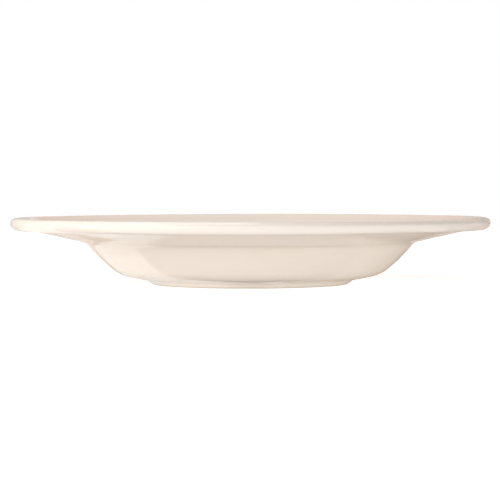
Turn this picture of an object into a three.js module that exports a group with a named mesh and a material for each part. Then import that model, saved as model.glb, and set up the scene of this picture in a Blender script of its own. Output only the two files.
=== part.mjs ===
// A wide-rimmed pasta bowl of glazed china: a low foot ring, a round well and a sloping rim with a rolled edge.
// Millimetres, +Z up. The origin is the centre of the ring that the bowl stands on.

import * as THREE from 'three';

// Overall sizes, measured over the glaze.
const RIM_DIAMETER = 305;
const OVERALL_HEIGHT = 42.4;

// Glaze: a glass coat that stops short of the table, so that the standing ring stays bare.
const GLAZE_THICKNESS = 0.3;
const BARE_HEIGHT = 0.8;

// Rim: a flange that rises gently outwards. Its width runs from the outer edge to the corner below it.
const RIM_WIDTH = 47.7;
const RIM_RISE = 8.2;
const RIM_THICKNESS = 5.3;
const RIM_ROOT_RADIUS = 7.5;

// Rolled edge: thicker than the rim, rounded over its nose, with a crown that stands above the flange.
const EDGE_THICKNESS = 6.9;
const EDGE_WIDTH = 12.5;
const EDGE_LIFT = 0.1;
const EDGE_ROOT_RADIUS = 6;
const NOSE_LOWER_RADIUS = 4.1;
const NOSE_UPPER_RADIUS = 2.8;
const CROWN_WIDTH = 6.4;
const CROWN_RADIUS = 7;
const ROLL_WIDTH = 13.4;
const ROLL_ROOT_RADIUS = 16;

// Wall of the well: it leaves the underside at a soft knee, bows outwards a little and meets the rim at the lip.
const WALL_RUN = 21;
const WALL_BOW = 1.4;
const WALL_BOW_RADIUS = 90;
const WALL_THICKNESS = 5.6;
const KNEE_HEIGHT = 6.5;
const KNEE_RADIUS = 22;
const LIP_RADIUS = 9;

// Floor: flat in the middle, swept up into the wall.
const FLOOR_THICKNESS = 6;
const FLOOR_SWEEP_RADIUS = 40;

// Foot ring: a flat standing ring between a flared flank outside and a shallow recess inside.
const FOOT_DIAMETER = 124;
const FOOT_WIDTH = 5;
const FOOT_HEIGHT = 2.9;
const FOOT_FLARE = 3.5;
const FOOT_EDGE_RADIUS = 0.7;
const FOOT_GROOVE_RADIUS = 1.2;
const RECESS_DEPTH = 2.6;
const RECESS_FLARE = 3;
const RECESS_RADIUS = 2;

// Facets: sides round the axis, and how far a flat facet may stray from a round stretch of the outline.
const SIDES = 56;
const FACET_SAG = 0.12;

const fired = new THREE.MeshStandardMaterial({ color: 0xe6dac8, roughness: 0.75, metalness: 0 });
const glazed = new THREE.MeshStandardMaterial({ color: 0xf2e6d7, roughness: 0.12, metalness: 0 });

const point = (radius, height) => new THREE.Vector2(radius, height);
const rounded = (at, rounding) => ({ at, rounding });
const plain = (at) => rounded(at, 0);
const heading = (from, to) => to.clone().sub(from).normalize();
const facingOut = (along) => point(along.y, -along.x);

// Where two straight lines cross, each given by a point on it and its direction.
function crossing(startA, alongA, startB, alongB) {
  const travel = startB.clone().sub(startA).cross(alongB) / alongA.cross(alongB);
  return startA.clone().addScaledVector(alongA, travel);
}

// How many flat facets stand for an arc.
function facetCount(turn, radius) {
  if (turn === 0 || radius === 0) {
    return 0;
  }
  const facetAngle = 2 * Math.acos(1 - Math.min(FACET_SAG / radius, 1));
  return Math.ceil(Math.abs(turn) / facetAngle);
}

// Rounds a run of corners. Each sample of the result has its place and the direction that faces out of the clay.
// The clay lies on the left of the run, and a rounding that is too large for its straights is reduced to fit.
function roundedRun(corners) {
  const lengths = corners.slice(1).map((corner, i) => corner.at.distanceTo(corners[i].at));
  const headings = corners.slice(1).map((corner, i) => heading(corners[i].at, corner.at));
  const turns = corners.map((corner, i) => {
    const before = headings[Math.max(i - 1, 0)];
    const after = headings[Math.min(i, headings.length - 1)];
    return Math.atan2(before.cross(after), before.dot(after));
  });
  const wanted = corners.map((corner, i) => corner.rounding * Math.tan(Math.abs(turns[i]) / 2));

  return corners.flatMap((corner, i) => {
    const roomBefore = i > 0 ? lengths[i - 1] / (wanted[i - 1] + wanted[i]) : Infinity;
    const roomAfter = i < lengths.length ? lengths[i] / (wanted[i] + wanted[i + 1]) : Infinity;
    const share = Math.min(1, roomBefore, roomAfter);
    const radius = corner.rounding * share;
    const side = Math.sign(turns[i]);
    const arriving = headings[Math.max(i - 1, 0)];
    const start = corner.at.clone().addScaledVector(arriving, -wanted[i] * share);
    const centre = start.clone().addScaledVector(facingOut(arriving), -side * radius);
    const facets = facetCount(turns[i], radius);
    return Array.from({ length: facets + 1 }, (_, k) => {
      const turned = facets > 0 ? (turns[i] * k) / facets : 0;
      const out = facingOut(arriving.clone().rotateAround(point(0, 0), turned));
      return { at: centre.clone().addScaledVector(out, side * radius), out };
    });
  });
}

const places = (run) => run.map((sample) => sample.at);
const raised = (run, by) => run.map((sample) => sample.at.clone().addScaledVector(sample.out, by));

// Outer corners of the clay, from the foot up to the rolled edge.
const clayRadius = RIM_DIAMETER / 2 - GLAZE_THICKNESS;
const crownHeight = OVERALL_HEIGHT - GLAZE_THICKNESS;
const noseBottom = point(clayRadius, crownHeight - EDGE_THICKNESS);
const noseTop = point(clayRadius, crownHeight);
const edgeRoot = point(clayRadius - EDGE_WIDTH, noseBottom.y - EDGE_LIFT);
const rimRoot = point(clayRadius - RIM_WIDTH, edgeRoot.y - RIM_RISE);
const knee = point(rimRoot.x - WALL_RUN, KNEE_HEIGHT);
const wallHeading = heading(knee, rimRoot);
const rimHeading = heading(rimRoot, edgeRoot);
const wallBow = knee.clone().lerp(rimRoot, 0.5).addScaledVector(facingOut(wallHeading), WALL_BOW);

// Inner corners: the upper face of the rim and the inside of the wall lie a thickness away from the outer ones.
const floorHeight = RECESS_DEPTH + FLOOR_THICKNESS;
const floorCentre = point(0, floorHeight);
const insideWall = knee.clone().addScaledVector(facingOut(wallHeading), -WALL_THICKNESS);
const upperRim = rimRoot.clone().addScaledVector(facingOut(rimHeading), -RIM_THICKNESS);
const floorEdge = crossing(floorCentre, point(1, 0), insideWall, wallHeading);
const lip = crossing(upperRim, rimHeading, insideWall, wallHeading);
const rollRoot = crossing(upperRim, rimHeading, point(clayRadius - ROLL_WIDTH, 0), point(0, 1));
const crown = point(clayRadius - CROWN_WIDTH, crownHeight);

// Foot corners, and the two lines where the glaze stops on its flanks.
const footOuter = point(FOOT_DIAMETER / 2, 0);
const footInner = point(FOOT_DIAMETER / 2 - FOOT_WIDTH, 0);
const groove = point(footOuter.x + FOOT_FLARE, FOOT_HEIGHT);
const recess = point(footInner.x - RECESS_FLARE, RECESS_DEPTH);
const outerGlazeLine = footOuter.clone().lerp(groove, BARE_HEIGHT / FOOT_HEIGHT);
const innerGlazeLine = footInner.clone().lerp(recess, BARE_HEIGHT / RECESS_DEPTH);

// The outline of the clay in three runs: the glazed recess, the bare standing ring and the glazed bowl.
const recessRun = roundedRun([
  plain(point(0, RECESS_DEPTH)),
  rounded(recess, RECESS_RADIUS),
  plain(innerGlazeLine),
]);

const standingRun = roundedRun([
  plain(innerGlazeLine),
  rounded(footInner, FOOT_EDGE_RADIUS),
  rounded(footOuter, FOOT_EDGE_RADIUS),
  plain(outerGlazeLine),
]);

const bowlRun = roundedRun([
  plain(outerGlazeLine),
  rounded(groove, FOOT_GROOVE_RADIUS),
  rounded(knee, KNEE_RADIUS),
  rounded(wallBow, WALL_BOW_RADIUS),
  rounded(rimRoot, RIM_ROOT_RADIUS),
  rounded(edgeRoot, EDGE_ROOT_RADIUS),
  rounded(noseBottom, NOSE_LOWER_RADIUS),
  rounded(noseTop, NOSE_UPPER_RADIUS),
  rounded(crown, CROWN_RADIUS),
  rounded(rollRoot, ROLL_ROOT_RADIUS),
  rounded(lip, LIP_RADIUS),
  rounded(floorEdge, FLOOR_SWEEP_RADIUS),
  plain(floorCentre),
]);

// Turns an outline that starts and ends on the axis into a solid that stands upright.
function turned(name, outline, material) {
  const geometry = new THREE.LatheGeometry(outline, SIDES);
  geometry.rotateX(Math.PI / 2);
  const mesh = new THREE.Mesh(geometry, material);
  mesh.name = name;
  return mesh;
}

// Clay body: foot, floor, wall, rim and rolled edge in one pressing.
function ceramicBody() {
  const outline = [
    ...places(recessRun),
    ...places(standingRun.slice(1, -1)),
    ...places(bowlRun),
  ];
  return turned('ceramic_body', outline, fired);
}

// A coat's outline follows the clay in the clay's own direction, so that both have the same facets where they touch.
// The glass then lies on the right of that outline, and its faces are turned over to point outwards.
function coat(name, outline) {
  const mesh = turned(name, outline, glazed);
  const corners = mesh.geometry.index.array;
  for (let i = 0; i < corners.length; i += 3) {
    [corners[i + 1], corners[i + 2]] = [corners[i + 2], corners[i + 1]];
  }
  return mesh;
}

// Main coat: one film from the flank of the foot, over the rolled edge, to the middle of the floor.
function glazeCoat() {
  const surface = raised(bowlRun, GLAZE_THICKNESS).reverse();
  return coat('glaze_coat', [...surface, ...places(bowlRun)]);
}

// Base glaze: the patch inside the foot ring, cut off from the main coat by the bare standing ring.
function baseGlaze() {
  const surface = raised(recessRun, GLAZE_THICKNESS).reverse();
  return coat('base_glaze', [...places(recessRun), ...surface]);
}

const bowl = new THREE.Group();
bowl.name = 'pasta_bowl';
bowl.add(ceramicBody(), glazeCoat(), baseGlaze());

export default bowl;
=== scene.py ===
# %% [markdown]
# # A cream pasta bowl
#
# The bowl is pressed from one lump of clay, fired, dipped in cream glaze and fired again. What the eye sees
# is almost all glaze: a thin coat of glass that rounds every corner and mirrors the table. This lesson
# turns the clay and its two coats of glaze on the bowl's axis, gives each a finish and sets them in a small
# studio.
#
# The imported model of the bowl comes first. It is a fixed frame that holds the real sizes, so a new piece
# that is drawn to those sizes needs no fitting afterwards.

from math import atan2, ceil, cos, degrees, pi, radians, sin, tan

import bpy
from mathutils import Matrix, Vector


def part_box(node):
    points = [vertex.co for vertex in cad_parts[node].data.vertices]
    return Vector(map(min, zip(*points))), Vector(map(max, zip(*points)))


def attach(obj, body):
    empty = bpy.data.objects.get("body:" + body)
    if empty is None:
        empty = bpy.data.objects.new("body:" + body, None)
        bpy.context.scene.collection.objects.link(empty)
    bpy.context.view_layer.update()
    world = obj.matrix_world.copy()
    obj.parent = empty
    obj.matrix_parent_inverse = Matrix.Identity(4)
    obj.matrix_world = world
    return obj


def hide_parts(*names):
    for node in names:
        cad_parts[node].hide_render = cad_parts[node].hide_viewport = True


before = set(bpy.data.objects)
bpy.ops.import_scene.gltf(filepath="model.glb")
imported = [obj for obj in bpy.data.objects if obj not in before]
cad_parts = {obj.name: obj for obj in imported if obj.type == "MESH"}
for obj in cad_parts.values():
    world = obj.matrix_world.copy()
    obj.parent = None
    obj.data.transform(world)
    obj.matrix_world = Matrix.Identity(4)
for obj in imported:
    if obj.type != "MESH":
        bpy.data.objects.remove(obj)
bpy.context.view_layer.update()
MM = 0.001
print("solids in the frame:", sorted(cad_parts))

# %% [markdown]
# ## The camera
#
# The bowl is seen almost edge-on, from a little above its rim, through a long lens that keeps the near and
# the far rim close in size. A camera can be placed by eye, but a wide ellipse this flat shows an error of
# half a degree. So the distance, the height, the downward pitch and the slight roll, both in radians, were
# worked out from the outline of the rim and the foot.

# %% Camera
CAMERA_DISTANCE = 1300 * MM
CAMERA_HEIGHT = 64.19 * MM
CAMERA_ASIDE = -0.27 * MM
CAMERA_PITCH = 0.03277
CAMERA_ROLL = -0.00206
LENS_MM = 146.4
SENSOR_MM = 36

bpy.ops.object.select_all(action="DESELECT")
bpy.ops.object.camera_add(location=(CAMERA_ASIDE, -CAMERA_DISTANCE, CAMERA_HEIGHT))
camera = bpy.context.object
camera.rotation_mode = "ZYX"
camera.rotation_euler = (pi / 2 - CAMERA_PITCH, 0, CAMERA_ROLL)
camera.data.lens = LENS_MM
camera.data.sensor_width = SENSOR_MM
bpy.context.scene.camera = camera
print("camera at", [round(side, 4) for side in camera.location], "lens", camera.data.lens)

# %% [markdown]
# ## The sizes of the outline
#
# Everything on the bowl is round, so one outline, half of a cut through the middle, holds its whole shape.
# The diameter and the height come from the frame. The other sizes are what a potter would take with
# callipers: widths, rises and thicknesses of the rim, the rolled edge, the wall, the floor and the foot
# ring.

# %% Sizes of the whole bowl and its glaze
RIM_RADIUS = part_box("glaze_coat")[1].x
OVERALL_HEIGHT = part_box("glaze_coat")[1].z
GLAZE_THICKNESS = 0.3 * MM
BARE_HEIGHT = 0.8 * MM

clay_radius = RIM_RADIUS - GLAZE_THICKNESS
crown_height = OVERALL_HEIGHT - GLAZE_THICKNESS
print(f"rim {2 * RIM_RADIUS / MM:.1f} mm across, {OVERALL_HEIGHT / MM:.1f} mm high")

# %% Sizes of the rim and its rolled edge
RIM_WIDTH = 47.7 * MM
RIM_RISE = 8.2 * MM
RIM_THICKNESS = 5.3 * MM
RIM_ROOT_RADIUS = 7.5 * MM
EDGE_THICKNESS = 6.9 * MM
EDGE_WIDTH = 12.5 * MM
EDGE_LIFT = 0.1 * MM
EDGE_ROOT_RADIUS = 6 * MM
NOSE_LOWER_RADIUS = 4.1 * MM
NOSE_UPPER_RADIUS = 2.8 * MM
CROWN_WIDTH = 6.4 * MM
CROWN_RADIUS = 7 * MM
ROLL_WIDTH = 13.4 * MM
ROLL_ROOT_RADIUS = 16 * MM
print(f"rim {RIM_WIDTH / MM:.1f} mm wide, its edge {EDGE_THICKNESS / MM:.1f} mm thick without the glaze")

# %% Sizes of the wall and the floor
WALL_RUN = 21 * MM
WALL_BOW = 1.4 * MM
WALL_BOW_RADIUS = 90 * MM
WALL_THICKNESS = 5.6 * MM
KNEE_HEIGHT = 6.5 * MM
KNEE_RADIUS = 22 * MM
LIP_RADIUS = 9 * MM
FLOOR_THICKNESS = 6 * MM
FLOOR_SWEEP_RADIUS = 40 * MM
print(f"wall {WALL_THICKNESS / MM:.1f} mm and floor {FLOOR_THICKNESS / MM:.1f} mm thick")

# %% Sizes of the foot ring
FOOT_RADIUS = 62 * MM
FOOT_WIDTH = 5 * MM
FOOT_HEIGHT = 2.9 * MM
FOOT_FLARE = 3.5 * MM
FOOT_EDGE_RADIUS = 0.7 * MM
FOOT_GROOVE_RADIUS = 1.2 * MM
RECESS_DEPTH = 2.6 * MM
RECESS_FLARE = 3 * MM
RECESS_RADIUS = 2 * MM
print(f"foot ring {2 * FOOT_RADIUS / MM:.0f} mm across and {FOOT_WIDTH / MM:.0f} mm wide")

# %% [markdown]
# ## The corners of the outline
#
# A corner is a place on the half cut, radius first and height second, with the radius that rounds it. The
# outer corners are stepped off from the rolled edge down to the foot. The inner ones lie a thickness away,
# where the line of the rim's upper face crosses the line of the wall's inside, so a thicker wall moves the
# lip by itself.

# %% Directions and crossings
def heading(start, end):
    """The direction from one corner to the next."""
    return (end - start).normalized()


def facing_out(along):
    """The direction that faces out of the clay, which lies on the left of the outline."""
    return Vector((along.y, -along.x))


def crossing(start_a, along_a, start_b, along_b):
    """Where two straight lines cross, each given by a place on it and its direction."""
    travel = (start_b - start_a).cross(along_b) / along_a.cross(along_b)
    return start_a + along_a * travel


# %% Outer corners, from the rolled edge down to the knee
nose_top = Vector((clay_radius, crown_height))
nose_bottom = Vector((clay_radius, crown_height - EDGE_THICKNESS))
edge_root = Vector((clay_radius - EDGE_WIDTH, nose_bottom.y - EDGE_LIFT))
rim_root = Vector((clay_radius - RIM_WIDTH, edge_root.y - RIM_RISE))
knee = Vector((rim_root.x - WALL_RUN, KNEE_HEIGHT))
rim_heading = heading(rim_root, edge_root)
wall_heading = heading(knee, rim_root)
wall_bow = knee.lerp(rim_root, 0.5) + facing_out(wall_heading) * WALL_BOW
print(f"the rim rises at {degrees(atan2(rim_heading.y, rim_heading.x)):.1f} degrees")

# %% Inner corners, from the crown down to the middle of the floor
RADIAL = Vector((1, 0))
UPRIGHT = Vector((0, 1))

crown = Vector((clay_radius - CROWN_WIDTH, crown_height))
upper_rim = rim_root - facing_out(rim_heading) * RIM_THICKNESS
inside_wall = knee - facing_out(wall_heading) * WALL_THICKNESS
roll_foot = Vector((clay_radius - ROLL_WIDTH, 0))
roll_root = crossing(upper_rim, rim_heading, roll_foot, UPRIGHT)
lip = crossing(upper_rim, rim_heading, inside_wall, wall_heading)
floor_centre = Vector((0, RECESS_DEPTH + FLOOR_THICKNESS))
floor_edge = crossing(floor_centre, RADIAL, inside_wall, wall_heading)
print(f"lip at radius {lip.x / MM:.1f} mm, {lip.y / MM:.1f} mm up")
print(f"corner of the floor at radius {floor_edge.x / MM:.1f} mm")

# %% Foot corners, and the two lines where the glaze stops
foot_outer = Vector((FOOT_RADIUS, 0))
foot_inner = Vector((FOOT_RADIUS - FOOT_WIDTH, 0))
groove = Vector((FOOT_RADIUS + FOOT_FLARE, FOOT_HEIGHT))
recess = Vector((foot_inner.x - RECESS_FLARE, RECESS_DEPTH))
outer_glaze_line = foot_outer.lerp(groove, BARE_HEIGHT / FOOT_HEIGHT)
inner_glaze_line = foot_inner.lerp(recess, BARE_HEIGHT / RECESS_DEPTH)
print(f"the glaze stops {outer_glaze_line.y / MM:.1f} mm above the table")

# %% The outline in three runs of corners and roundings
recess_corners = [
    (Vector((0, RECESS_DEPTH)), 0),
    (recess, RECESS_RADIUS),
    (inner_glaze_line, 0),
]
standing_corners = [
    (foot_inner, FOOT_EDGE_RADIUS),
    (foot_outer, FOOT_EDGE_RADIUS),
]
bowl_corners = [
    (outer_glaze_line, 0),
    (groove, FOOT_GROOVE_RADIUS),
    (knee, KNEE_RADIUS),
    (wall_bow, WALL_BOW_RADIUS),
    (rim_root, RIM_ROOT_RADIUS),
    (edge_root, EDGE_ROOT_RADIUS),
    (nose_bottom, NOSE_LOWER_RADIUS),
    (nose_top, NOSE_UPPER_RADIUS),
    (crown, CROWN_RADIUS),
    (roll_root, ROLL_ROOT_RADIUS),
    (lip, LIP_RADIUS),
    (floor_edge, FLOOR_SWEEP_RADIUS),
    (floor_centre, 0),
]
print("corners:", len(recess_corners), "recess,", len(standing_corners), "foot,", len(bowl_corners), "bowl")

# %% [markdown]
# ## Drawing an outline
#
# An outline could be typed in as a long list of points, but its round stretches are arcs, and Blender can
# draw an arc: Spin carries a vertex round a centre and leaves an edge at each step. So a pen, one vertex of
# a plane merged at its middle, is extruded along each straight and spun round each corner. Straights are
# cut into short steps too, so that the turned mesh gets faces of about the same size all over.

# %% Strokes of the pen
STRAIGHT_STEP = 2.6 * MM
ARC_STEP = radians(7)
FEWEST_ARC_STEPS = 2


def extrude_pen(start, end):
    """Extrudes the pen along a straight in even steps."""
    steps = max(1, ceil((end - start).length / STRAIGHT_STEP))
    move = (end - start) / steps
    for _ in range(steps):
        bpy.ops.mesh.extrude_region_move(TRANSFORM_OT_translate={"value": (move.x, 0, move.y)})


def spin_pen(centre, turn):
    """Spins the pen round the centre of a rounding. Spin turns left about +Y and right about -Y."""
    steps = max(FEWEST_ARC_STEPS, ceil(abs(turn) / ARC_STEP))
    axis = (0, 1 if turn > 0 else -1, 0)
    bpy.ops.mesh.spin(steps=steps, angle=abs(turn), center=(centre.x, 0, centre.y), axis=axis)


print(f"pen steps: {STRAIGHT_STEP / MM:.1f} mm on a straight, {degrees(ARC_STEP):.0f} degrees on an arc")


# %% Outline from corners
def rounding_of(corners, i):
    """How far a corner's rounding reaches along its straights, its turn, and the ways in and out."""
    place, rounding = corners[i]
    arriving = heading(corners[i - 1][0], place)
    leaving = heading(place, corners[i + 1][0])
    turn = atan2(arriving.cross(leaving), arriving.dot(leaving))
    return rounding * tan(abs(turn) / 2), turn, arriving, leaving


def start_pen(name, place):
    """Adds a plane and merges it into one vertex, and stays in edit mode."""
    bpy.ops.object.select_all(action="DESELECT")
    bpy.ops.mesh.primitive_plane_add(size=MM, location=(place.x, 0, place.y))
    bpy.context.object.name = name
    bpy.ops.object.transform_apply(location=True, rotation=True, scale=True)
    bpy.ops.object.mode_set(mode="EDIT")
    bpy.ops.mesh.select_all(action="SELECT")
    bpy.ops.mesh.merge(type="CENTER")


def draw_outline(name, corners):
    """Draws a run of rounded corners in the plane of X and Z, and stays in edit mode."""
    pen = corners[0][0]
    start_pen(name, pen)
    for i in range(1, len(corners) - 1):
        place, rounding = corners[i]
        reach, turn, arriving, leaving = rounding_of(corners, i)
        arc_start = place - arriving * reach
        extrude_pen(pen, arc_start)
        pen = arc_start
        if rounding > 0:
            side = 1 if turn > 0 else -1
            spin_pen(arc_start - facing_out(arriving) * side * rounding, turn)
            pen = place + leaving * reach
    extrude_pen(pen, corners[-1][0])
    return bpy.context.object


# %% [markdown]
# ## Turning it
#
# On the wheel the clay turns against a template. Spin does the same: it sweeps the outline once round the
# bowl's axis. The first and the last copy then lie on each other, and every vertex on the axis has a
# hundred twins, so doubles are merged before the normals are recalculated.

# %% Spin round the axis
TURN_STEPS = 176
MERGE_DISTANCE = 0.002 * MM


def turn_outline(piece):
    """Spins an outline round the axis, closes its seam and its poles and makes its faces agree."""
    bpy.ops.mesh.select_all(action="SELECT")
    bpy.ops.mesh.spin(steps=TURN_STEPS, angle=2 * pi, center=(0, 0, 0), axis=(0, 0, 1))
    bpy.ops.mesh.select_all(action="SELECT")
    bpy.ops.mesh.remove_doubles(threshold=MERGE_DISTANCE)
    bpy.ops.mesh.normals_make_consistent(inside=False)
    bpy.ops.object.mode_set(mode="OBJECT")
    print(piece.name, "turned:", len(piece.data.vertices), "vertices,", len(piece.data.polygons), "faces")


# %% [markdown]
# ## The clay
#
# Foot, floor, wall, rim and rolled edge are one pressing. The outline runs from the axis under the foot,
# round the bowl and back to the axis on the floor, so it turns into a closed solid. Only its standing ring
# stays in view.

# %% Clay body
SMOOTH_ANGLE = radians(40)

clay_body = draw_outline("clay_body", recess_corners + standing_corners + bowl_corners)
turn_outline(clay_body)
bpy.ops.object.shade_smooth_by_angle(angle=SMOOTH_ANGLE)

# %% [markdown]
# ## The glaze
#
# A coat of glaze lies on the clay at an even thickness. A copy of the clay could be scaled up for it, but
# scaling isn't even. Solidify is: it grows a wall along the normals. So the same outline is turned into an
# open film and its faces are made to look away from the clay. The line where it stops is pushed about a
# little along the flank, as a sponge leaves it, and then the film gets its thickness.

# %% Film to coat
LINE_WANDER = 0.16 * MM
WANDER_WAVES = ((3, 0.5, 0.3), (7, 0.3, 1.9), (17, 0.2, 4.1))


def face_film(film, up):
    """Makes the film's face at the axis look up or down, and the rest with it."""
    axis_face = min(film.data.polygons, key=lambda face: Vector(face.center[:2]).length)
    if (axis_face.normal.z > 0) != up:
        bpy.ops.object.mode_set(mode="EDIT")
        bpy.ops.mesh.select_all(action="SELECT")
        bpy.ops.mesh.flip_normals()
        bpy.ops.object.mode_set(mode="OBJECT")


def wander_stop_line(film, line, along):
    """Pushes the line where the glaze stops up and down the flank in slow waves.

    A wave is how often it goes round, its share of the wander and the angle that it starts at.
    """
    for vertex in film.data.vertices:
        radius = Vector(vertex.co[:2]).length
        if abs(radius - line.x) < MERGE_DISTANCE and abs(vertex.co.z - line.y) < MERGE_DISTANCE:
            bearing = atan2(vertex.co.y, vertex.co.x)
            wave = sum(share * sin(count * bearing + start) for count, share, start in WANDER_WAVES)
            shift = along * LINE_WANDER * wave
            scale = (radius + shift.x) / radius
            vertex.co = (vertex.co.x * scale, vertex.co.y * scale, vertex.co.z + shift.y)


def thicken_film(film):
    """Grows the coat outwards from the film."""
    bpy.context.view_layer.objects.active = film
    solidify = film.modifiers.new("coat", "SOLIDIFY")
    solidify.thickness = GLAZE_THICKNESS
    solidify.offset = 1
    solidify.use_even_offset = True
    bpy.ops.object.modifier_apply(modifier=solidify.name)


print(f"glaze {GLAZE_THICKNESS / MM:.1f} mm thick, its line wanders by {LINE_WANDER / MM:.2f} mm")

# %% [markdown]
# ## The bead where the glaze stops
#
# Melted glass pulls itself round at its edge, so a coat ends in a soft bead above the bare foot. The film's
# edge is cut square by Solidify. A bevel rounds it, and the edges for it are found by their place: they lie
# on the outer face of the coat, close to the line where it stops.

# %% Rounded stop line
STOP_ROUNDING = 0.22 * MM
STOP_REACH = 2 * LINE_WANDER
STOP_TOLERANCE = GLAZE_THICKNESS / 4
STOP_SEGMENTS = 4


def is_stop_edge(coat, edge, edge_line, outwards):
    """True for an edge on the coat's outer face whose two ends lie close to the line where it stops."""
    along = Vector((-outwards.y, outwards.x))
    for index in edge.vertices:
        place = coat.data.vertices[index].co
        offset = Vector((Vector(place[:2]).length, place.z)) - edge_line
        if abs(offset.dot(outwards)) > STOP_TOLERANCE or abs(offset.dot(along)) > STOP_REACH:
            return False
    return True


def round_stop_line(coat, line, outwards):
    """Bevels the outer edge of the coat where it stops, so that the glass ends in a round bead."""
    edge_line = line + outwards * GLAZE_THICKNESS
    bpy.ops.object.mode_set(mode="EDIT")
    bpy.ops.mesh.select_mode(type="EDGE")
    bpy.ops.mesh.select_all(action="DESELECT")
    bpy.ops.object.mode_set(mode="OBJECT")
    sharp = [edge for edge in coat.data.edges if is_stop_edge(coat, edge, edge_line, outwards)]
    for edge in sharp:
        edge.select = True
    bpy.ops.object.mode_set(mode="EDIT")
    bpy.ops.mesh.bevel(offset=STOP_ROUNDING, offset_type="OFFSET", segments=STOP_SEGMENTS, affect="EDGES")
    bpy.ops.mesh.select_mode(type="VERT")
    bpy.ops.object.mode_set(mode="OBJECT")
    bpy.ops.object.shade_smooth_by_angle(angle=SMOOTH_ANGLE)
    print(coat.name, "stops in", len(sharp), "rounded edges")


# %% [markdown]
# ## The main coat
#
# One unbroken coat runs from the flank of the foot over the rim to the middle of the floor. It is drawn
# with the same corners as that stretch of the clay, so the two touch all over.

# %% Main coat
flank_heading = heading(foot_outer, groove)
glaze_over_bowl = draw_outline("glaze_over_bowl", bowl_corners)
turn_outline(glaze_over_bowl)
face_film(glaze_over_bowl, up=True)
wander_stop_line(glaze_over_bowl, outer_glaze_line, flank_heading)
thicken_film(glaze_over_bowl)
round_stop_line(glaze_over_bowl, outer_glaze_line, facing_out(flank_heading))

# %% [markdown]
# ## The patch under the base
#
# The bowl stands in the kiln on its bare ring, and the ring cuts the glaze in two. The patch in the recess
# inside the ring is a coat of its own, made the same way with its faces looking down.

# %% Patch of glaze in the recess
recess_heading = heading(recess, foot_inner)
glaze_under_base = draw_outline("glaze_under_base", recess_corners)
turn_outline(glaze_under_base)
face_film(glaze_under_base, up=False)
wander_stop_line(glaze_under_base, inner_glaze_line, recess_heading)
thicken_film(glaze_under_base)
round_stop_line(glaze_under_base, inner_glaze_line, facing_out(recess_heading))

# %% [markdown]
# ## Shader maths as expressions
#
# A finish is a graph of nodes. Wiring it by hand takes a line for every link, so two small classes do it. A
# Value is a socket that can be added, multiplied and subtracted like a number, and each sum adds a Math
# node.

# %% Values
class Value:
    """A socket of a node tree. Arithmetic on it adds Math nodes."""

    def __init__(self, finish, node, socket):
        self.finish = finish
        self.node = node
        self.socket = socket

    def output(self, name):
        """Another output of the same node."""
        return Value(self.finish, self.node, self.node.outputs[name])

    def math(self, operation, *operands):
        """A Math node of the same tree."""
        return self.finish.node("ShaderNodeMath", {"operation": operation}, dict(enumerate(operands)))

    def __add__(self, other):
        return self.math("ADD", self, other)

    def __sub__(self, other):
        return self.math("SUBTRACT", self, other)

    def __rsub__(self, other):
        return self.math("SUBTRACT", other, self)

    def __mul__(self, other):
        return self.math("MULTIPLY", self, other)

    __radd__ = __add__
    __rmul__ = __mul__


# %% [markdown]
# ## Finishes
#
# A Finish owns one node tree. It adds any node from its type, its settings and what goes into its sockets.
# The few nodes that come back in every finish, such as soft noise, a smooth step or a ring round the axis,
# have short names of their own.

# %% Finishes
class Finish:
    """A node tree that is written as expressions."""

    def __init__(self, tree):
        self.tree = tree
        tree.nodes.clear()

    def node(self, kind, settings=None, sockets=None):
        """Adds a node, its settings first and then its sockets. Gives its first output in use."""
        made = self.tree.nodes.new(kind)
        for name, value in (settings or {}).items():
            setattr(made, name, value)
        for name, value in (sockets or {}).items():
            self.feed(made, name, value)
        live = [socket for socket in made.outputs if socket.enabled]
        return Value(self, made, live[0] if live else None)

    def feed(self, made, name, value):
        """Links a socket, found by its name or its number, or sets its value."""
        socket = next(s for i, s in enumerate(made.inputs) if s.enabled and name in (i, s.name))
        if isinstance(value, Value):
            self.tree.links.new(value.socket, socket)
        else:
            socket.default_value = value

    def places(self):
        """The place on the piece, its distance from the bowl's axis and its height."""
        place = self.node("ShaderNodeTexCoord").output("Object")
        split = self.node("ShaderNodeSeparateXYZ", sockets={"Vector": place})
        across = split.output("X")
        away = split.output("Y")
        squares = across * across + away * away
        return place, squares.math("SQRT", squares), split.output("Z")

    def noise(self, place, size, detail=2.0, roughness=0.5):
        """Soft noise from 0 to 1 with lumps of about that size in metres."""
        sockets = {"Vector": place, "Scale": 1 / size, "Detail": detail, "Roughness": roughness}
        return self.node("ShaderNodeTexNoise", {"noise_dimensions": "3D"}, sockets)

    def ramp(self, value, low, high):
        """0 below low, 1 above high and a smooth step between them. With high below low it falls."""
        settings = {"interpolation_type": "SMOOTHSTEP", "clamp": True}
        sockets = {"Value": value, "From Min": low, "From Max": high}
        return self.node("ShaderNodeMapRange", settings, sockets)

    def ring(self, value, middle, half_width):
        """1 at the middle and a smooth fall to 0 at half a width on either side."""
        rise = self.ramp(value, middle - half_width, middle)
        return rise * self.ramp(value, middle + half_width, middle)

    def mix(self, share, first, second):
        """The second colour over the first by a share from 0 to 1."""
        settings = {"data_type": "RGBA", "blend_type": "MIX"}
        return self.node("ShaderNodeMix", settings, {"Factor": share, "A": first, "B": second})

    def relief(self, depth):
        """A normal for a surface that stands out by a depth in metres."""
        return self.node("ShaderNodeBump", sockets={"Height": depth, "Distance": 1.0, "Strength": 1.0})

    def show(self, shader):
        """Makes a shader the surface of the material."""
        self.node("ShaderNodeOutputMaterial", sockets={"Surface": shader})


def new_finish(name):
    """A new material and its empty finish."""
    material = bpy.data.materials.new(name)
    material.use_nodes = True
    return material, Finish(material.node_tree)


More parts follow.
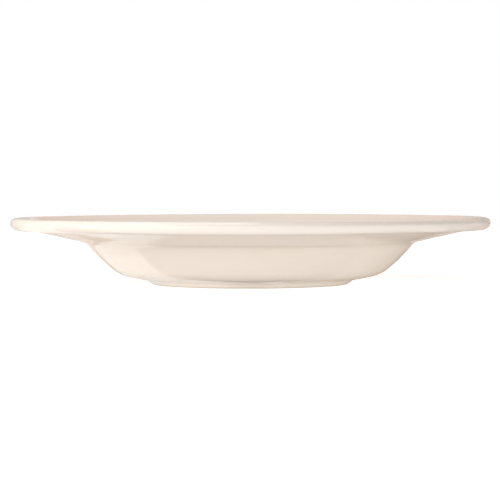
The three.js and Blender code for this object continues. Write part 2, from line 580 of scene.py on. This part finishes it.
# %% [markdown]
# ## Cream glaze
#
# The glaze is a clear glass with a little cream stain in it, so it shades like a pale matt body under a
# sharp clear gloss. It is never quite even: it pools a shade deeper at the foot and round the floor, and
# runs a shade thinner over the lip. The deeper cream under the rim is painted shade, and in the groove
# under the rolled edge it is partly pooled glaze and partly painted shade. The paler cream over the rolled
# edge is a painted highlight. A picture could be painted for that, but the places are known from the
# outline, so rings of radius and height mark them.

# %% Rings of glaze
cream_glaze, glaze = new_finish("cream_glaze")
glaze_place, glaze_radius, glaze_height = glaze.places()


def glaze_ring(middle, half_width, fade_from, fade_to, strength):
    """A ring of glaze round the axis that fades in from one height to another."""
    ring = glaze.ring(glaze_radius, middle, half_width)
    return ring * glaze.ramp(glaze_height, fade_from, fade_to) * strength


# Painted shade: a deeper cream in the band under the rim, where shade falls.
under_rim_shade = glaze_ring(
    middle=rim_root.x + 1 * MM,
    half_width=7 * MM,
    fade_from=lip.y - 2 * MM,
    fade_to=rim_root.y,
    strength=0.35,
)
# Partly pooled glaze and partly painted shade: a deeper cream in the groove under the rolled edge.
under_edge_pool_and_shade = glaze_ring(
    middle=edge_root.x + 1 * MM,
    half_width=5 * MM,
    fade_from=crown_height - 3 * MM,
    fade_to=edge_root.y,
    strength=0.5,
)
foot_pool = glaze_ring(
    middle=groove.x,
    half_width=4 * MM,
    fade_from=knee.y,
    fade_to=groove.y,
    strength=0.2,
)
floor_pool = glaze_ring(
    middle=floor_edge.x - 8 * MM,
    half_width=16 * MM,
    fade_from=floor_centre.y - 1 * MM,
    fade_to=floor_centre.y,
    strength=0.2,
)
lip_thinning = glaze_ring(
    middle=lip.x,
    half_width=6 * MM,
    fade_from=rim_root.y + 2 * MM,
    fade_to=lip.y,
    strength=0.35,
)
print("glaze rings take", len(cream_glaze.node_tree.nodes), "nodes")

# %% [markdown]
# ## The colour of the glaze
#
# Between the rings the stain drifts in soft clouds, a few centimetres across, with a finer ripple where the
# glass ran thin. Noise gives both. The deeper cream is then laid over the plain one where the glaze pools
# and where shade is painted, and the paler cream where it runs thin and where a highlight is painted.

# %% Colour of the glaze
CREAM = (0.880, 0.803, 0.720, 1)
CREAM_POOLED_AND_SHADED = (0.845, 0.745, 0.635, 1)
CREAM_THIN_AND_HIGHLIT = (0.900, 0.835, 0.760, 1)
CLOUD_SIZE = 34 * MM
CLOUD_POOLING = 0.22
RIPPLE_SIZE = 7 * MM
RIPPLE_THINNING = 0.08
# The paler cream over the rolled edge is a painted highlight.
EDGE_HIGHLIGHT_START = clay_radius - 10 * MM
EDGE_HIGHLIGHT_FULL = clay_radius - 3 * MM
EDGE_HIGHLIGHT_SHARE = 0.2

cloud = glaze.noise(glaze_place, CLOUD_SIZE, detail=3)
ripple = glaze.noise(glaze_place, RIPPLE_SIZE, detail=2)
cloud_pool = glaze.ramp(cloud, low=0.45, high=0.8) * CLOUD_POOLING
ripple_thinning = glaze.ramp(ripple, low=0.55, high=0.85) * RIPPLE_THINNING
painted_edge_highlight = glaze.ramp(glaze_radius, EDGE_HIGHLIGHT_START, EDGE_HIGHLIGHT_FULL) * EDGE_HIGHLIGHT_SHARE
# The deeper cream mixes pooled glaze with painted shade under the rim and under the rolled edge.
pooled_and_shaded = under_rim_shade + under_edge_pool_and_shade + foot_pool + floor_pool + cloud_pool
# The paler cream mixes thinner glaze at the lip and in ripples with the painted highlight on the rolled
# edge.
thinned_and_highlit = painted_edge_highlight + lip_thinning + ripple_thinning
glaze_tone = glaze.mix(thinned_and_highlit, glaze.mix(pooled_and_shaded, CREAM, CREAM_POOLED_AND_SHADED), CREAM_THIN_AND_HIGHLIT)
print("glaze colour takes", len(cream_glaze.node_tree.nodes), "nodes with its rings")

# %% [markdown]
# ## The gloss of the glaze
#
# A fired glaze is glossy but not a perfect mirror. It lies in slow waves, has a fine orange peel, and is a
# little duller in patches. Geometry for that would be far too fine, so noise feeds the roughness and a
# bump.

# %% Gloss of the glaze
GLAZE_IOR = 1.55
GLAZE_ROUGHNESS = 0.085
GLOSS_SPREAD = 0.06
DULLING_SIZE = 11 * MM
WAVE_SIZE = 26 * MM
WAVE_DEPTH = 0.05 * MM
PEEL_SIZE = 3.2 * MM
PEEL_DEPTH = 0.0016 * MM

dulling = glaze.noise(glaze_place, DULLING_SIZE, detail=4, roughness=0.6)
glaze_gloss = dulling * GLOSS_SPREAD + (GLAZE_ROUGHNESS - GLOSS_SPREAD / 2)
waves = glaze.noise(glaze_place, WAVE_SIZE, detail=1) * WAVE_DEPTH
orange_peel = glaze.noise(glaze_place, PEEL_SIZE, detail=1) * PEEL_DEPTH
glaze_sockets = {
    "Base Color": glaze_tone,
    "Roughness": glaze_gloss,
    "IOR": GLAZE_IOR,
    "Normal": glaze.relief(waves + orange_peel),
}
glaze.show(glaze.node("ShaderNodeBsdfPrincipled", sockets=glaze_sockets))
print("cream glaze has", len(cream_glaze.node_tree.nodes), "nodes")

# %% [markdown]
# ## Bare clay
#
# The standing ring was ground smooth after the last firing. It is matt, a little sandy, marked by fine
# circles from the grinding wheel and greyed where it slides over shelves. Noise along the radius gives the
# circles, and noise in all directions the sand and the scuffs.

# %% Colour of the clay
CLAY = (0.700, 0.615, 0.505, 1)
CLAY_SAND = (0.560, 0.465, 0.360, 1)
CLAY_WORN = (0.600, 0.560, 0.500, 1)
SAND_SIZE = 0.5 * MM
SAND_SHARE = 0.7
SCUFF_SIZE = 6 * MM
WORN_HEIGHT = 0.5 * MM
WORN_SHARE = 0.6

bare_clay, clay = new_finish("bare_clay")
clay_place, clay_distance, clay_height = clay.places()
sand = clay.noise(clay_place, SAND_SIZE, detail=3, roughness=0.65)
scuff = clay.noise(clay_place, SCUFF_SIZE, detail=4)
sandy = clay.ramp(sand, low=0.55, high=0.8) * SAND_SHARE
worn = clay.ramp(clay_height, WORN_HEIGHT, 0) * clay.ramp(scuff, low=0.4, high=0.7) * WORN_SHARE
clay_tone = clay.mix(worn, clay.mix(sandy, CLAY, CLAY_SAND), CLAY_WORN)
print("clay colour takes", len(bare_clay.node_tree.nodes), "nodes")

# %% Grain of the clay
GRINDING_SIZE = 0.35 * MM
GRINDING_DEPTH = 0.02 * MM
SAND_DEPTH = 0.03 * MM
CLAY_ROUGHNESS = 0.72
SAND_ROUGHNESS = 0.2

grinding = clay.node(
    "ShaderNodeTexNoise",
    {"noise_dimensions": "1D"},
    {"W": clay_distance, "Scale": 1 / GRINDING_SIZE, "Detail": 2.0},
)
clay_sockets = {
    "Base Color": clay_tone,
    "Roughness": sand * SAND_ROUGHNESS + CLAY_ROUGHNESS,
    "Normal": clay.relief(sand * SAND_DEPTH + grinding * GRINDING_DEPTH),
}
clay.show(clay.node("ShaderNodeBsdfPrincipled", sockets=clay_sockets))
print("bare clay has", len(bare_clay.node_tree.nodes), "nodes")

# %% [markdown]
# ## Fitting the pieces to the frame
#
# Each piece gets its finish, rides on the bowl's one body and stands for the solid that it was drawn over.

# %% Fit the pieces
def fit_piece(piece, material, slot, node):
    """Gives a piece its finish and its place in the frame."""
    piece.data.materials.clear()
    piece.data.materials.append(material)
    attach(piece, "root")
    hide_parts(node)
    print(piece.name, "stands for", node, "in", slot)


fit_piece(clay_body, bare_clay, "bare_clay", "ceramic_body")
fit_piece(glaze_over_bowl, cream_glaze, "cream_glaze", "glaze_coat")
fit_piece(glaze_under_base, cream_glaze, "cream_glaze", "base_glaze")

# %% [markdown]
# ## The table
#
# The underside of the rim is nearly as bright as its top, so light comes up from the table as well. Picture
# tables are made for that: a sheet of white acrylic with soft light under it. A lamp below a plain floor
# would be blocked, so the sheet itself glows a little, and a little more in two pools: a wide one at the
# right of the bowl and a small one at the left of the foot.

# %% Sheet of white acrylic
TABLE_SIZE = 3.6
TABLE_MIDDLE = -0.2
TABLE_GAP = 0.03 * MM

bpy.ops.object.select_all(action="DESELECT")
bpy.ops.mesh.primitive_plane_add(size=TABLE_SIZE, location=(0, TABLE_MIDDLE, -TABLE_GAP))
table = bpy.context.object
table.name = "table"
bpy.ops.object.transform_apply(location=True, rotation=True, scale=True)
white_acrylic, acrylic = new_finish("white_acrylic")
table.data.materials.append(white_acrylic)
print("table", TABLE_SIZE, "m wide")

# %% Glow of the sheet
TABLE_GLOW = 0.275

table_place = acrylic.node("ShaderNodeTexCoord").output("Object")


def table_distance(middle):
    """The distance on the table from a place on it."""
    return acrylic.node("ShaderNodeVectorMath", {"operation": "DISTANCE"}, {0: table_place, 1: middle})


def glow_pool(middle, even_radius, end_radius, glow):
    """A round pool of light in the sheet that fades outwards."""
    return acrylic.ramp(table_distance(middle), end_radius, even_radius) * glow


wide_pool = glow_pool((140 * MM, -80 * MM, 0), even_radius=60 * MM, end_radius=220 * MM, glow=0.14)
small_pool = glow_pool((-50 * MM, -46 * MM, 0), even_radius=10 * MM, end_radius=75 * MM, glow=0.09)
print("table glows at", TABLE_GLOW, "and more in two pools")

# %% [markdown]
# ## What the camera sees of the table
#
# A white sheet in dim light still photographs grey, so a second glow is added for what the camera and the
# glaze's mirror see of it. Light Path picks those rays out, with any that come through something clear,
# and the bowl's shadow stays. The far part of the sheet gets a little more, so that it meets the white
# background without a line. Close to the foot the mirror gets less, because a real sheet lies in the
# bowl's own shade there.

# %% Seen glow of the sheet
TABLE_WHITE = (0.65, 0.65, 0.65, 1)
PLAIN_WHITE = (1, 1, 1, 1)
SEEN_GLOW = 0.38
FAR_GLOW = 0.15
FAR_START = 0.55
FAR_END = 1.1
FOOT_SHADE = 0.35
SHADE_START = 70 * MM
SHADE_END = 100 * MM

rays = acrylic.node("ShaderNodeLightPath")
mirrored = rays.output("Is Glossy Ray")
camera_or_mirror = rays.math("MAXIMUM", rays.output("Is Camera Ray"), mirrored)
seen = rays.math("MAXIMUM", camera_or_mirror, rays.output("Is Transmission Ray"))
from_bowl = table_distance((0, 0, 0))
seen_glow = seen * (acrylic.ramp(from_bowl, FAR_START, FAR_END) * FAR_GLOW + SEEN_GLOW)
foot_shade = mirrored * acrylic.ramp(from_bowl, SHADE_END, SHADE_START) * FOOT_SHADE
table_glow = seen_glow + TABLE_GLOW - foot_shade + wide_pool + small_pool
sheet_light = acrylic.node("ShaderNodeEmission", sockets={"Color": PLAIN_WHITE, "Strength": table_glow})
sheet_matt = acrylic.node("ShaderNodeBsdfDiffuse", sockets={"Color": TABLE_WHITE})
acrylic.show(acrylic.node("ShaderNodeAddShader", sockets={0: sheet_light, 1: sheet_matt}))
print("white acrylic has", len(white_acrylic.node_tree.nodes), "nodes")

# %% [markdown]
# ## Cards for the mirror
#
# A glaze mirrors most where it is seen at a slant, so a white bowl on a white table loses its edges.
# Photographers lay and stand cards round it: the slanting places mirror a card and draw themselves. Such
# cards would also shade the table and show in the picture, so ray visibility keeps them for the mirror
# alone.

# %% Cards that only reflections see
CARD_LIFT = 0.3 * MM


def mirror_card(name, tone, middle, width, depth, turn=(0, 0, 0)):
    """A matt card that only reflections see."""
    material, board = new_finish(name)
    board.show(board.node("ShaderNodeBsdfDiffuse", sockets={"Color": tone}))
    bpy.ops.object.select_all(action="DESELECT")
    bpy.ops.mesh.primitive_plane_add(size=1, location=middle, rotation=turn)
    card = bpy.context.object
    card.name = name
    card.scale = (width, depth, 1)
    bpy.ops.object.transform_apply(location=True, rotation=True, scale=True)
    card.data.materials.append(material)
    card.visible_camera = False
    card.visible_diffuse = False
    card.visible_shadow = False
    print(name, "at", [round(side, 3) for side in middle])


def lying_card(name, tone, left, right, near, far):
    """A card that lies on the table, square to the camera."""
    middle = Vector(((left + right) / 2, (near + far) / 2, CARD_LIFT))
    mirror_card(name, tone, middle, right - left, far - near)


def standing_card(name, tone, left, right, away, top):
    """A card that stands on the table and faces the camera."""
    middle = Vector(((left + right) / 2, away, top / 2))
    mirror_card(name, tone, middle, right - left, top, turn=(pi / 2, 0, 0))


# %% [markdown]
# ## The cards and what they draw
#
# A dark card lies under the rim in front of the foot and shows as a curve low on the wall. It is a painted
# reflection of the shade on the table there, and its far edge sets where the curve runs. Pale ones lie at
# the
# left, the back left and the right: the outline of the wall and the underside of the rim mirror them. The
# ones at the left and the right are painted reflections of the bowl's shade on the table. Two grey ones
# stand behind, one for each tip of the rim. The card at the left is turned to follow the wall's outline, so
# it is placed from one corner and a bearing.

# %% Lay and stand the cards
CARD_DARK = (0.26, 0.24, 0.22, 1)
CARD_CREAM = (0.95, 0.89, 0.83, 1)
CARD_BUFF = (0.92, 0.84, 0.76, 1)
CARD_TAN = (0.84, 0.77, 0.70, 1)
CARD_GREY = (0.62, 0.57, 0.52, 1)
FRONT_EDGE = -62.8 * MM
FRONT_DEPTH = 56 * MM
BACK_LINE = 0.5
BACK_TOP = 0.23
LEFT_CORNER = Vector((-88 * MM, 0, CARD_LIFT))
LEFT_TURN = radians(128)
LEFT_LENGTH = 0.5
LEFT_WIDTH = 0.3

along_left = Vector((cos(LEFT_TURN), sin(LEFT_TURN), 0))
across_left = Vector((sin(LEFT_TURN), -cos(LEFT_TURN), 0))
left_middle = LEFT_CORNER + along_left * LEFT_LENGTH / 2 + across_left * LEFT_WIDTH / 2
front_near = FRONT_EDGE - FRONT_DEPTH
# Painted reflection of shade: the dark card stands for the shaded table in front of the foot.
lying_card("shade_card_front", CARD_DARK, left=-0.5, right=0.125, near=front_near, far=FRONT_EDGE)
# Painted reflection of shade: this card stands for the shaded table under the bowl at the left.
mirror_card("shade_card_left", CARD_CREAM, left_middle, LEFT_LENGTH, LEFT_WIDTH, turn=(0, 0, LEFT_TURN))
lying_card("card_back_left", CARD_BUFF, left=-0.65, right=-0.15, near=0.065, far=0.6)
# Painted reflection of shade: this card stands for the bowl's shadow on the table at the right.
lying_card("shade_card_right", CARD_TAN, left=0.02, right=0.405, near=FRONT_EDGE, far=BACK_LINE)
standing_card("card_back_right", CARD_GREY, left=0.17, right=0.6, away=BACK_LINE, top=BACK_TOP)
standing_card("card_tip_left", CARD_GREY, left=-0.66, right=-0.18, away=BACK_LINE, top=BACK_TOP)

# %% [markdown]
# ## Lamps
#
# A very long soft box lies low along the front left. It fills the rolled edge with white from end to end
# and reaches under the rim. A shorter and dimmer one fills the right from even lower, and a square one
# hangs above on the left. Each is given by its bearing from the bowl, where zero is the camera's side and
# left is negative, and by its glow, the brightness of its face, where one is as bright as white paper.

# %% Soft boxes
BOWL_MIDDLE = Vector((0, 0, 20 * MM))
LAMP_DISTANCE = 1.5


def soft_box(name, bearing, elevation, width, height, glow):
    """A rectangle of even light that faces the bowl and that the camera doesn't see."""
    level = cos(elevation) * LAMP_DISTANCE
    away = Vector((sin(bearing) * level, -cos(bearing) * level, sin(elevation) * LAMP_DISTANCE))
    bpy.ops.object.select_all(action="DESELECT")
    bpy.ops.object.light_add(type="AREA", location=BOWL_MIDDLE + away)
    lamp = bpy.context.object
    lamp.name = name
    lamp.rotation_euler = away.to_track_quat("Z", "Y").to_euler()
    lamp.data.shape = "RECTANGLE"
    lamp.data.size = width
    lamp.data.size_y = height
    lamp.data.energy = pi * glow * width * height
    lamp.visible_camera = False
    print(name, "at", [round(side, 2) for side in lamp.location], round(lamp.data.energy, 2), "W")


soft_box("key_box", bearing=radians(-40), elevation=radians(11), width=3.8, height=0.6, glow=2.8)
soft_box("fill_box", bearing=radians(50), elevation=radians(4), width=2.6, height=0.34, glow=2.0)
soft_box("top_box", bearing=radians(-90), elevation=radians(70), width=1.2, height=1.2, glow=2.8)

# %% [markdown]
# ## The room
#
# What the glaze mirrors at a glance is the room. It is white in a low band round the horizon, which is the
# picture's background. Above that it is a warm white behind, a little to the left, and dark at the front
# and overhead, where the rolled edge needs something dark to mirror or it would melt into the rim. The
# heights are sines, because the Z of a direction is the sine of its elevation.

# %% Room
ROOM_LOW = (0.74, 0.57, 0.46, 1)
ROOM_BRIGHT = (0.92, 0.79, 0.70, 1)
ROOM_DARK = (0.05, 0.05, 0.06, 1)
BRIGHT_BEARING = radians(207)
BRIGHT_FADE = 0.6
WALL_LOW = sin(radians(9))
CEILING_BRIGHT = sin(radians(36))
CEILING_DARK = sin(radians(65))
BAND_TOP = sin(radians(5.5))
BAND_FADE = sin(radians(9.5))

world = bpy.data.worlds.new("studio")
bpy.context.scene.world = world
world.use_nodes = True
studio = Finish(world.node_tree)
towards = studio.node("ShaderNodeTexCoord").output("Generated")
direction = studio.node("ShaderNodeSeparateXYZ", sockets={"Vector": towards})
rise = direction.output("Z")
bright_side = direction.output("X") * sin(BRIGHT_BEARING) - direction.output("Y") * cos(BRIGHT_BEARING)
below_ceiling = studio.ramp(rise, CEILING_DARK, CEILING_BRIGHT)
brightness = studio.ramp(bright_side, -BRIGHT_FADE, BRIGHT_FADE) * below_ceiling
room_wall = studio.mix(studio.ramp(rise, WALL_LOW, CEILING_BRIGHT), ROOM_LOW, ROOM_BRIGHT)
upper_room = studio.mix(brightness, ROOM_DARK, room_wall)
room = studio.mix(studio.ramp(rise, BAND_TOP, BAND_FADE), PLAIN_WHITE, upper_room)
room_shader = studio.node("ShaderNodeBackground", sockets={"Color": room, "Strength": 1.0})
studio.node("ShaderNodeOutputWorld", sockets={"Surface": room_shader})
bpy.context.scene.view_settings.view_transform = "Standard"
print("room has", len(world.node_tree.nodes), "nodes")
